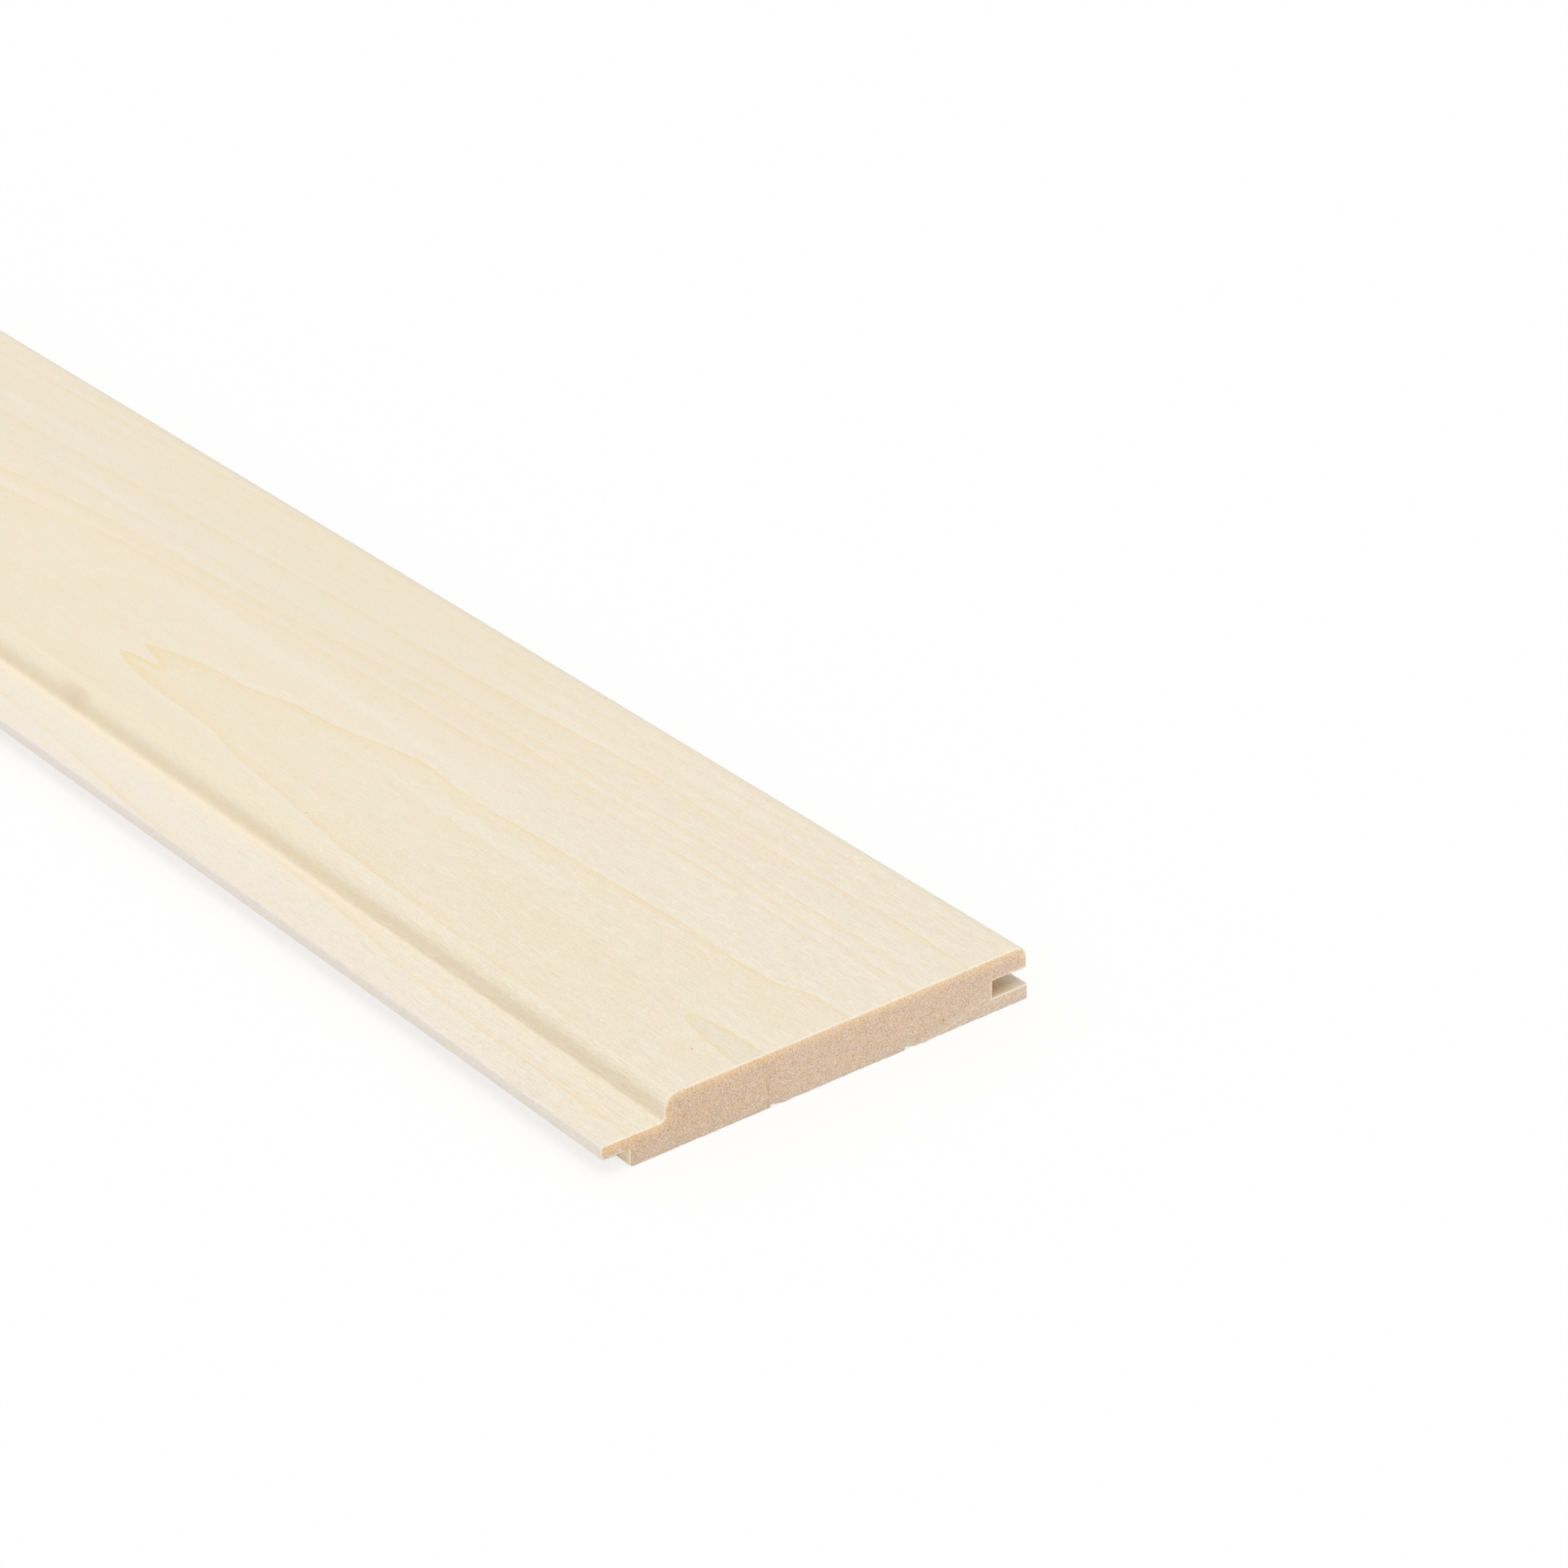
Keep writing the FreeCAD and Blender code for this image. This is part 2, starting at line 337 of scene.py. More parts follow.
def smooth_noise(points, scale, seed):
    """Noise from -1 to 1 at each row of points, the same on every run."""
    cells = np.asarray(points, dtype=float) / scale
    low = np.floor(cells).astype(np.int64)
    part = cells - low
    ease = part * part * (3 - 2 * part)
    primes = np.array([73856093, 19349663, 83492791])[:cells.shape[1]]
    total = np.zeros(len(cells))
    for corner in itertools.product((0, 1), repeat=cells.shape[1]):
        mixed = ((low + corner) * primes).sum(axis=1) ^ (seed * 2654435761)
        mixed = ((mixed ^ (mixed >> 13)) * 1274126177) & 0xFFFFFFFF
        value = ((mixed ^ (mixed >> 16)) & 0xFFFF) / 32767.5 - 1
        total += value * np.prod(np.where(corner, ease, 1 - ease), axis=1)
    return total


def smoothed_line(points, reach, window=9):
    """A drawn line sampled at every millimetre along the board, with its kinks eased."""
    places, values = zip(*points)
    samples = np.interp(np.arange(-window, reach + window + 1), places, values)
    kernel = np.hanning(window + 2)[1:-1]
    return np.convolve(samples, kernel / kernel.sum(), "same")[window:-window]


def eased(value, low, high):
    """Goes from 0 to 1 while the value goes from low to high."""
    part = np.clip((value - low) / (high - low), 0, 1)
    return part * part * (3 - 2 * part)


def between(value, low, risen, falling, gone):
    """1 between two places, eased in before the first and out after the second."""
    return eased(value, low, risen) - eased(value, falling, gone)


def hill(value, middle, width):
    """1 at the middle, falling off on both sides of it."""
    return np.exp(-((value - middle) / width) ** 2)


class GrowthRings:
    """The ring number anywhere in the wood, which is a whole number where a ring ends."""

    def __init__(self, board, rings, seed):
        self.thickness = board.thickness / MM
        self.lip = board.tongue_top / MM
        self.depth = rings.depth / MM
        self.spread = rings.spread / MM ** 2
        self.seed = seed
        self.reach = int(board.length / MM) + 1
        self.middle = smoothed_line(ARCH_MIDDLE, self.reach)
        self.rise = smoothed_line(ARCH_RISE, self.reach)
        self.face_shift = self.shift_to(FACE_LINES, 0)
        self.lip_shift = self.shift_to(LIP_LINES, (self.thickness - self.lip) / self.depth)

    def plain(self, along, across):
        """Nested arches with no drawn line taken into account, on the show face."""
        row = np.clip(along, 0, self.reach - 1)
        places = np.arange(self.reach + 1)
        middle = np.interp(row, places[:len(self.middle)], self.middle)
        rise = np.interp(row, places[:len(self.rise)], self.rise)
        tip_bend = -3.3 * hill(across, 43, 9) * np.exp(-along / 45)
        fork = 0.1 * hill(across, 42.5, 2) * between(along, 248, 258, 275, 300)
        bulge = 0.21 * hill(across, 69, 8) * between(along, 12, 24, 34, 62)
        return rise + (across - middle - tip_bend) ** 2 / self.spread + fork + bulge

    def shift_to(self, lines, below_face):
        """How far the ring number is moved, every 4 mm by 1 mm, to bring it onto drawn lines."""
        rows = np.arange(0, DRAWN_REACH[1] + 4, 4.0)
        columns = np.arange(-1.0, 128.0)
        drawn = {ring: smoothed_line(points, DRAWN_REACH[1] + 4) for ring, points in lines.items()}
        table = np.zeros((len(rows), len(columns)))
        for i, row in enumerate(rows):
            places = [drawn[ring][int(row)] for ring in drawn]
            shifts = [
                ring - below_face - float(self.plain(row, place))
                for ring, place in zip(drawn, places)
            ]
            if below_face == 0:
                half = math.sqrt(max(0, 1 - self.rise[int(row)]) * self.spread)
                arch = self.middle[int(row)] + half
                places, shifts = [0.6 * arch + 0.4 * places[0]] + places, [0.0] + shifts
            table[i] = np.interp(columns, places, shifts)
            table[i] *= 1 - float(eased(row, *DRAWN_REACH))
        return table

    def looked_up(self, table, along, across):
        row = np.clip(along / 4, 0, table.shape[0] - 1.001)
        column = np.clip(across + 1, 0, table.shape[1] - 1.001)
        i, j = row.astype(int), column.astype(int)
        u, v = row - i, column - j
        return ((table[i, j] * (1 - u) + table[i + 1, j] * u) * (1 - v)
                + (table[i, j + 1] * (1 - u) + table[i + 1, j + 1] * u) * v)

    def number(self, along, across, up):
        near_face = eased(up, self.lip + 0.5, self.lip + 4.5)
        on_lip = (1 - near_face) * (1 - eased(across, 20, 26))
        places = np.column_stack([along / 6, across, up])
        beyond = eased(along, *DRAWN_REACH)
        return (
            self.plain(along, across)
            + (self.thickness - up) / self.depth
            + near_face * self.looked_up(self.face_shift, along, across)
            + on_lip * self.looked_up(self.lip_shift, along, across)
            + (0.002 + 0.04 * beyond) * smooth_noise(places, 5, self.seed)
            + 0.12 * beyond * smooth_noise(places, 23, self.seed + 1)
        )

    def width(self, places, normals, reach=0.4):
        """Millimetres from one ring line to the next, measured over the surface at each place."""
        slopes = np.column_stack([
            self.number(*(places + step).T) - self.number(*(places - step).T)
            for step in reach * np.eye(3)
        ]) / (2 * reach)
        slopes -= normals * np.sum(slopes * normals, axis=1, keepdims=True)
        return 1 / np.clip(np.linalg.norm(slopes, axis=1), 0.002, None)


class Shell:
    """The board's points, and its faces with the finish of each."""

    def __init__(self, points, faces):
        self.points = [np.asarray(points)]
        self.count = len(points)
        self.faces = list(faces)
        self.finishes = [FACE_FINISH] * len(self.faces)

    def add_points(self, points):
        first = self.count
        self.points.append(np.asarray(points))
        self.count += len(points)
        return list(range(first, self.count))

    def add_face(self, corners, outwards, finish):
        self.faces.append(tuple(corners if outwards else reversed(corners)))
        self.finishes.append(finish)


def new_tree(name, inputs):
    """An empty Geometry Nodes tree with named inputs, given as (name, type, default)."""
    tree = bpy.data.node_groups.new(name, "GeometryNodeTree")
    for label, kind, default in inputs:
        socket = tree.interface.new_socket(label, in_out="INPUT", socket_type=f"NodeSocket{kind}")
        if default is not None:
            socket.default_value = default
    tree.interface.new_socket("Geometry", in_out="OUTPUT", socket_type="NodeSocketGeometry")
    return tree


class Nodes:
    """Adds nodes to a tree and wires each as it is made. An input is a value or a socket."""

    def __init__(self, tree):
        self.tree = tree

    def add(self, kind, inputs=(), out=0, **settings):
        node = self.tree.nodes.new(kind)
        for name, value in settings.items():
            setattr(node, name, value)
        for key, value in dict(inputs).items():
            if isinstance(value, bpy.types.NodeSocket):
                self.tree.links.new(value, node.inputs[key])
            else:
                node.inputs[key].default_value = value
        return node if out is None else node.outputs[out]

    def math(self, operation, a, b=0.0, c=0.0):
        return self.add("ShaderNodeMath", {0: a, 1: b, 2: c}, operation=operation)

    def times(self, product, *factors):
        for factor in factors:
            product = self.math("MULTIPLY", product, factor)
        return product

    def give(self, geometry, material):
        """Ends a Geometry Nodes tree: its instances are made real and the material is set."""
        whole = self.add("GeometryNodeRealizeInstances", {"Geometry": geometry})
        dressed = self.add("GeometryNodeSetMaterial", {"Geometry": whole, "Material": material})
        self.add("NodeGroupOutput", {"Geometry": dressed}, out=None)
        return self.tree


def linked(name, data):
    """A new object in the scene."""
    thing = bpy.data.objects.new(name, data)
    bpy.context.scene.collection.objects.link(thing)
    return thing


def made_by(tree, name, values):
    """A plain mesh from a Geometry Nodes tree, with its inputs set by their identifiers."""
    piece = linked(name, bpy.data.meshes.new(name))
    modifier = piece.modifiers.new(name, "NODES")
    modifier.node_group = tree
    for item in tree.interface.items_tree:
        if item.in_out == "INPUT" and item.name in values:
            modifier[item.identifier] = values[item.name]
    evaluated = piece.evaluated_get(bpy.context.evaluated_depsgraph_get())
    made = bpy.data.meshes.new_from_object(evaluated)
    piece.modifiers.remove(modifier)
    old, piece.data = piece.data, made
    bpy.data.meshes.remove(old)
    made.name = name
    return piece


def milled_length_tree():
    """Sweeps a section along X, with sections crowded towards both ends."""
    tree = new_tree("milled_length", [
        ("Section", "Object", None),
        ("Length", "Float", 1.8),
        ("Stations", "Int", 200),
        ("End Crowding", "Float", 0.75),
        ("Material", "Material", None),
    ])
    n = Nodes(tree)
    given = n.add("NodeGroupInput", out=None).outputs
    line = n.add("GeometryNodeMeshLine", {
        "Count": given["Stations"], "Start Location": (-1, 0, 0), "Offset": (1, 0, 0),
    }, mode="END_POINTS")
    place = n.add("ShaderNodeSeparateXYZ", {0: n.add("GeometryNodeInputPosition")})
    crowded = n.math("SINE", n.times(place, math.pi / 2))
    mixed = n.add("ShaderNodeMix", {
        "Factor": given["End Crowding"], "A": place, "B": crowded,
    }, data_type="FLOAT")
    x = n.times(mixed, n.times(given["Length"], 0.5))
    moved = n.add("GeometryNodeSetPosition", {
        "Geometry": line, "Position": n.add("ShaderNodeCombineXYZ", {"X": x}),
    })
    path = n.add("GeometryNodeMeshToCurve", {"Mesh": moved})
    section = n.add("GeometryNodeObjectInfo", {"Object": given["Section"]}, out="Geometry")
    swept = n.add("GeometryNodeCurveToMesh", {"Curve": path, "Profile Curve": section})
    return n.give(swept, given["Material"])


def section_curve(outline, board):
    """The outline as a curve, turned half round because a sweep along X turns it back."""
    curve = bpy.data.curves.new("board_section", "CURVE")
    curve.dimensions = "3D"
    spline = curve.splines.new("POLY")
    spline.points.add(len(outline) - 1)
    for point, (across, up) in zip(spline.points, outline):
        point.co = (board.width / 2 - across, -up, 0, 1)
    spline.use_cyclic_u = True
    return linked("board_section", curve)


def ring_places(outline, board, x):
    """Points of one section of the board, in the part's frame."""
    return np.column_stack([
        np.full(len(outline), x), outline[:, 0] - board.width / 2, outline[:, 1],
    ])


def points_inside(outline, step, rng):
    """Evenly strewn points over the section, kept clear of its outline."""
    low, high = outline.min(axis=0), outline.max(axis=0)
    rows = np.arange(low[1], high[1], step * 0.866)
    columns = np.arange(low[0], high[0], step)
    across, up = np.meshgrid(columns, rows)
    across += (np.arange(len(rows)) % 2)[:, None] * step / 2
    strewn = np.column_stack([across.ravel(), up.ravel()])
    strewn += rng.uniform(-0.22, 0.22, strewn.shape) * step
    start, end = outline, np.roll(outline, -1, axis=0)
    kept = []
    for point in strewn:
        crosses = (start[:, 1] > point[1]) != (end[:, 1] > point[1])
        run = start[crosses], end[crosses]
        level = run[0][:, 0] + (point[1] - run[0][:, 1]) * (run[1][:, 0] - run[0][:, 0]) / (
            run[1][:, 1] - run[0][:, 1])
        if np.count_nonzero(level > point[0]) % 2 == 0:
            continue
        if np.min(np.sum((outline - point) ** 2, axis=1)) > (0.55 * step) ** 2:
            kept.append(tuple(point))
    return kept


def saw_marks(work, places, seed):
    """How deep the saw left each point of an end: upright score lines and torn pores."""
    mm = places / MM
    scores = smooth_noise(mm * (1, 0.05), 0.9, seed)
    scores += 0.6 * smooth_noise(mm * (1, 0.08), 0.5, seed + 1)
    pores = smooth_noise(mm, 0.7, seed + 2) + 0.7 * smooth_noise(mm, 0.45, seed + 3)
    rough = 0.35 + 0.65 * eased(mm[:, 1] + 0.5 * smooth_noise(mm, 3.0, seed + 4), 3.0, 6.0)
    depth = 0.5 + 0.16 * scores + 0.28 * pores * rough
    return np.clip(depth, 0, 1) * work.saw_depth


def add_sawn_end(shell, board, work, outline, first_ring, side, seed):
    """Closes one end: a finely divided band, a worn arris and the sawn face itself."""
    outwards = side > 0
    end = side * board.length / 2
    fine, kept = divided(outline, work.end_step)
    into = inward(fine)
    girth = np.cumsum(np.linalg.norm(fine - np.roll(fine, 1, axis=0), axis=1))[:, None] / MM
    wear = 0.75 + 0.3 * smooth_noise(girth, 2.2, seed) + 0.35 * smooth_noise(girth, 0.8, seed + 1)
    wear = np.clip(wear, 0.15, 1.6)
    breaks_out = (into[:, 1] > 0.3) & (fine[:, 1] > board.groove_floor)
    torn = np.clip(0.2 + 1.2 * smooth_noise(girth, 0.8, seed + 2), 0, 1.2)
    wear[breaks_out] += torn[breaks_out]
    ring = first_ring
    for number, (back, worn) in enumerate(END_SECTIONS):
        section = fine + into * (wear * worn * work.arris_ease)[:, None]
        placed = ring_places(section, board, end - side * back * work.end_band)
        following = shell.add_points(placed)
        if number == 0:
            for i, start in enumerate(kept):
                last = kept[i + 1] if i + 1 < len(kept) else len(fine)
                run = [following[k % len(fine)] for k in range(start, last + 1)]
                corners = [ring[i], ring[(i + 1) % len(ring)]] + run[::-1]
                shell.add_face(corners, outwards, FACE_FINISH)
        else:
            for i in range(len(fine)):
                j = (i + 1) % len(fine)
                corners = (ring[i], ring[j], following[j], following[i])
                shell.add_face(corners, outwards, FACE_FINISH)
        ring = following
    rng = np.random.default_rng(seed)
    strewn = points_inside(section, work.end_step, rng)
    flat = [Vector(point) for point in section] + [Vector(point) for point in strewn]
    places, _, triangles, origins, _, _ = geometry.delaunay_2d_cdt(
        flat, [], [list(range(len(section)))], 1, 1e-9)
    marks = saw_marks(work, np.array([tuple(place) for place in places]), seed)
    marks -= marks.min()
    numbers = {}
    for k, (place, origin) in enumerate(zip(places, origins)):
        rim = [o for o in origin if o < len(section)]
        if rim:
            numbers[k] = ring[rim[0]]
    inner = [k for k in range(len(places)) if k not in numbers]
    placed = ring_places(np.array([tuple(places[k]) for k in inner]), board, end)
    placed[:, 0] -= side * marks[inner]
    numbers.update(zip(inner, shell.add_points(placed)))
    for triangle in triangles:
        shell.add_face([numbers[k] for k in triangle], outwards, END_FINISH)


def distance_to(outline_points, across_up):
    """Millimetres from each place in the section to the nearest of some points of its outline."""
    nearest = np.full(len(across_up), np.inf)
    for point in outline_points:
        nearest = np.minimum(nearest, np.sum((across_up - point) ** 2, axis=1))
    return np.sqrt(nearest) / MM


def inside_groove(board, across, up, margin=0.1 * MM):
    """Which places lie on or between the groove's sides."""
    between_sides = (up > board.groove_floor - margin) & (up < board.groove_roof + margin)
    return between_sides & (across > board.groove_bottom - margin)


def store_distances(mesh, board, points, outline):
    """How far each point lies from the dressed upper side and from the groove's inside."""
    across_up = points[:, 1:] + (board.width / 2, 0)
    upper = (inward(outline)[:, 1] < -0.25) & (outline[:, 1] > board.tongue_underside)
    in_groove = inside_groove(board, *outline.T)
    store(mesh, "from_top", distance_to(outline[upper & ~in_groove], across_up))
    store(mesh, "from_groove", distance_to(outline[in_groove], across_up))


def painted_shade(board, points):
    """How much shade is painted at each place: inside the groove and in the shoulder's cove, where
    little open sky is seen.
    """
    across, up = points[:, 1] + board.width / 2, points[:, 2]
    mouth = (board.upper_lip_end - across) / (board.upper_lip_end - board.groove_bottom)
    deep = np.where(inside_groove(board, across, up), 0.15 + 0.8 * np.clip(mouth, 0, 1), 0.0)
    to_cove = np.hypot(across - board.lip_width + 0.2 * MM, up - board.tongue_top - 0.5 * MM) / MM
    near = 1 - 0.7 * eased((board.length / 2 - points[:, 0]) / MM, 40, 220)
    return deep + 0.6 * near * np.exp(-(to_cove / 0.5) ** 2)


def line_strength(number, along):
    """How strongly the nearest ring line shows: as drawn near the camera, by chance elsewhere."""
    nearest = np.round(number).astype(int)
    chance = (nearest * 7919 % 97) / 97
    strength = 0.35 + 0.6 * chance
    for ring, drawn in LINE_STRENGTHS.items():
        strength = np.where(nearest == ring, drawn, strength)
    return strength * (1 - 0.4 * between(along, 100, 280, 450, 600))


def store(mesh, name, values):
    mesh.attributes.new(name, "FLOAT", "POINT").data.foreach_set("value", values)


def finish_mesh(mesh, board, work, rings, outline):
    """Stores how the rings run at every point and lets the soft wood lie a little low."""
    points, normals = np.empty((2, len(mesh.vertices), 3))
    mesh.vertices.foreach_get("co", points.reshape(-1))
    mesh.vertex_normals.foreach_get("vector", normals.reshape(-1))
    places = (points * (-1, 1, 1) + (board.length / 2, board.width / 2, 0)) / MM
    number = rings.number(*places.T)
    store(mesh, "growth", number)
    store(mesh, "ring_width", rings.width(places, normals * (-1, 1, 1)))
    store(mesh, "line_strength", line_strength(number, places[:, 0]))
    store(mesh, "painted_shade", painted_shade(board, points))
    store_distances(mesh, board, points, outline)
    into_ring = number - np.floor(number)
    fibres = smooth_noise(places * (1 / 30, 1, 1), 0.9, work.seed + 9)
    low = (1 - eased(into_ring, 0.6, 0.98)) * 0.55 + 0.45 * (fibres + 1) / 2
    from_ends = np.minimum(places[:, 0], board.length / MM - places[:, 0])
    points -= normals * (low * eased(from_ends, 0, 3) * work.raised_grain)[:, None]
    mesh.vertices.foreach_set("co", points.reshape(-1))
    mesh.update()


def empty_material(name):
    material = bpy.data.materials.new(name)
    material.use_nodes = True
    material.node_tree.nodes.clear()
    return material


class Wood(Nodes):
    """A wood material in the board's own places, in millimetres, and its ring numbers."""

    def __init__(self, name, base):
        self.material = empty_material(name)
        super().__init__(self.material.node_tree)
        self.base = base
        place = self.add("ShaderNodeTexCoord", out="Object")
        self.place = self.add("ShaderNodeVectorMath", {0: place, 1: (1 / MM,) * 3},
                              operation="MULTIPLY")
        x, y, self.up = self.add("ShaderNodeSeparateXYZ", {0: self.place}, out=None).outputs
        self.along = self.math("SUBTRACT", cad_high.x / MM, x)
        self.across = self.math("SUBTRACT", y, cad_low.y / MM)
        self.from_end = self.math("SUBTRACT", cad_high.x / MM, self.math("ABSOLUTE", x))
        self.growth = self.stored("growth")
        self.width = self.stored("ring_width")

    def stored(self, name):
        """A number that was stored at every point of the mesh."""
        return self.add("ShaderNodeAttribute", out=2, attribute_name=name)

    def wavered(self, value, noise, amount):
        """A value moved to and fro by a noise about 0.5."""
        return self.math("ADD", value, self.math("MULTIPLY_ADD", noise, amount, -amount / 2))

    def ramp(self, value, low, high, to_low=0.0, to_high=1.0):
        """Eases from one value to another while the input goes from low to high."""
        return self.add("ShaderNodeMapRange", {
            "Value": value, "From Min": low, "From Max": high, "To Min": to_low, "To Max": to_high,
        }, interpolation_type="SMOOTHSTEP")

    def bell(self, value, middle, width):
        """1 where the value is the middle, falling off on both sides of it."""
        off = self.math("DIVIDE", self.math("SUBTRACT", value, middle), width)
        return self.math("EXPONENT", self.times(off, off, -1.0))

    def fading(self, distance, reach):
        """1 at no distance, falling off over a reach."""
        return self.math("EXPONENT", self.times(self.math("DIVIDE", distance, reach), -1.0))

    def noise(self, grain, shift=0.0, detail=2.0, roughness=0.5, turn=0.0):
        """Noise about 0.5 whose features measure the given millimetres along, across and up."""
        scaled = self.add("ShaderNodeMapping", {
            "Vector": self.place,
            "Location": (shift, shift * 1.7, shift * 0.6),
            "Rotation": (turn, 0, 0),
            "Scale": tuple(1 / size for size in grain),
        }, vector_type="POINT")
        return self.add("ShaderNodeTexNoise", {
            "Vector": scaled, "Scale": 1.0, "Detail": detail, "Roughness": roughness,
        })

    def before_line(self, number):
        """Millimetres over the surface to the line that closes the ring."""
        return self.times(self.math("SUBTRACT", 1.0, self.math("FRACT", number)), self.width)

    def ring_line(self, number, thickness):
        """The thin line where a ring ends: sharp outside, fading into the ring it closes."""
        before = self.before_line(number)
        fade = self.math("MULTIPLY_ADD", self.width, 0.004, thickness)
        return self.times(self.fading(before, fade), self.ramp(before, 0.0, 0.3))

    def late_wood(self, number, reach):
        """The tanned end of a ring, deepening towards the line that closes it."""
        return self.fading(self.before_line(number), reach)

    def early_wood(self, number, reach):
        """The pale start of a ring, just outside the line that closed the ring before it."""
        return self.fading(self.times(self.math("FRACT", number), self.width), reach)

    def mixed(self, factor, first, second):
        sockets = {"Factor": factor, 6: rgba(first), 7: rgba(second)}
        return self.add("ShaderNodeMix", sockets, out=2, data_type="RGBA")

    def tint(self, colour, *factors):
        """Mixes the base towards a colour, as far as the product of the factors says."""
        self.base = self.mixed(self.times(*factors), self.base, colour)

    def surface(self, roughness, height, bump_distance):
        """The finished material, with its bump's distance in metres."""
        normal = self.add("ShaderNodeBump", {
            "Strength": 1.0, "Distance": bump_distance, "Height": height,
        })
        shader = self.add("ShaderNodeBsdfPrincipled", {
            "Base Color": self.base, "Roughness": roughness, "Normal": normal,
            "Specular IOR Level": 0.28, "IOR": 1.45,
        })
        self.add("ShaderNodeOutputMaterial", {"Surface": shader}, out=None)
        return self.material


def rgba(value):
    """A colour property as four numbers, and a socket as it is."""
    return value if isinstance(value, bpy.types.NodeSocket) else (*value, 1.0)


def planed_wood(colours):
    """Long grain: fine fibres, broad streaks and the thin lines of the rings."""
    wood = Wood("planed_wood", colours.planed)
    along, across, up = wood.along, wood.across, wood.up
    ramp, noise, bell, tint = wood.ramp, wood.noise, wood.bell, wood.tint
    stray = wood.math("DIVIDE", wood.wavered(0.0, noise((14, 0.9, 0.9), 3.1), 0.7), wood.width)
    number = wood.math("ADD", wood.growth, stray)
    shown = wood.stored("line_strength")
    on_face = wood.times(ramp(across, 20.5, 23, 0.1, 1.0), ramp(across, 28.5, 36.5, 0.6, 1.0))
    on_lip = ramp(up, 9.5, 8.7)

    # Broad streaks, the golden and the silvery side of each ring line, and the forked arch's fill.
    tint(colours.warm, ramp(noise((120, 7, 5), 1.3, 3), 0.4, 0.75, 0.0, 0.4))
    tint(colours.warm, ramp(noise((50, 2.4, 2.4), 5.9, 2), 0.4, 0.7, 0.0, 0.22))
    tint(colours.late, wood.late_wood(number, 3.5), shown, on_face, ramp(along, 40, 180, 0.2, 0.42))
    tint(colours.late, bell(along, 260, 17), bell(across, 41, 7), wood.late_wood(number, 6), 0.9)
    silvery = wood.times(wood.early_wood(number, 2), shown)
    silvery = wood.math("ADD", ramp(noise((160, 6, 4), 7.7, 3), 0.5, 0.8), silvery)
    tint(colours.cool, silvery, 0.6)

    # The lip, painted light on the shoulder's foot with a painted highlight along its upper edge,
    # and the inside of the first arch.
    tint(colours.lip, on_lip, ramp(along, 0, 100, 0.45, 0.85))
    # Painted light: lifts the shade at the shoulder's foot and wall further up the board; the bell
    # at 21.9 mm is a painted highlight on the shoulder's upper edge.
    foot = wood.times(ramp(across, 14.0, 16.2), ramp(across, 18.2, 17.7))
    foot = wood.math("MULTIPLY_ADD", bell(across, 21.9, 1.2), 0.6, foot)
    tint(colours.foot, foot, ramp(along, 30, 180, 0.0, 0.45))
    tint(colours.heart, ramp(number, 0.0, -0.004, 0.0, 0.85))

    # The ring lines, stronger on the lip and broken here and there.
    off_cove = wood.times(on_lip, ramp(across, 16.7, 15.0))
    clear = wood.math("MULTIPLY_ADD", off_cove, 2.1, on_face)
    patchy = ramp(noise((30, 6, 4), 5.2), 0.25, 0.7, 0.5, 1.0)
    line = wood.ring_line(number, ramp(along, 20, 260, 0.8, 1.8))
    tint(colours.ring, line, shown, clear, ramp(along, 20, 260, 1.0, 0.6), patchy)

    # Single places: painted reflected light on the tongue's tip, painted rosy light on its
    # underside, painted shade in the sheltered hollows and on the groove edge's round, and silvery
    # and duller wood.
    # Painted reflected light: the tongue's tip is greyed as if lit from the white floor.
    tint(colours.tip, ramp(across, 0.7, 0.2), ramp(up, 4.2, 5.2), 0.85)
    # Painted shade: darker in the shoulder's cove and deep inside the groove, as far as the stored
    # amount says.
    shade_colour = wood.mixed(ramp(across, 62.5, 63.5), colours.painted_shade, colours.groove)
    tint(shade_colour, wood.stored("painted_shade"), 0.8)
    # Painted shade on the groove edge's round, which faces away from the lamp.
    tint(colours.edge, ramp(across, 120.1, 122.5, 0.0, 0.5))
    tint(colours.tip, ramp(across, 59.5, 70.5), ramp(along, 200, 120, 0.0, 0.15))
    tint(colours.edge, ramp(across, 70.5, 87.5), ramp(along, 140, 210, 0.0, 0.17))
    tint(colours.under, ramp(across, 9.0, 8.0), ramp(up, 5.2, 4.7), 0.85)

    # Fine fibres, a little fainter in the middle of the part that the photograph shows.
    tint(colours.warm_fibre, ramp(noise((1.8, 0.7, 0.7), 6.6, 1), 0.3, 0.7, 0.0, 0.14))
    woolly = wood.math("MAXIMUM", ramp(along, 250, 40, 0.3, 1.0), ramp(along, 470, 650, 0.3, 1.0))
    tint(colours.light_fibre_and_highlight, ramp(noise((5, 0.3, 0.3), 9.4, 1), 0.5, 0.72, 0.0, 0.45), woolly)
    fine = ramp(noise((0.9, 0.3, 0.3), 2.2, 1), 0.45, 0.72)
    tint(colours.fibre, fine, woolly, 0.38)
    tint(colours.fibre, ramp(noise((6, 0.32, 0.32), 8.4, 1), 0.5, 0.75, 0.0, 0.5), woolly)

    # Specks, painted shade on the shoulder's round, the rough back, and the worn edge at each sawn
    # end, pale worn wood lifted with painted light.
    for at, beside, radius in PIN_SPECKS:
        tint(colours.speck, bell(along, at, 1.6 * radius), bell(across, beside, radius))
    # Painted shade: a darker tan patch on the shoulder's round.
    shoulder_shade = wood.times(bell(along, 259, 7), bell(across, 18.9, 1.4))
    tint(colours.shoulder_shade, ramp(shoulder_shade, 0.1, 0.9, 0.0, 0.26))
    tint(colours.back, ramp(up, 0.9, 0.05, 0.0, 0.8))
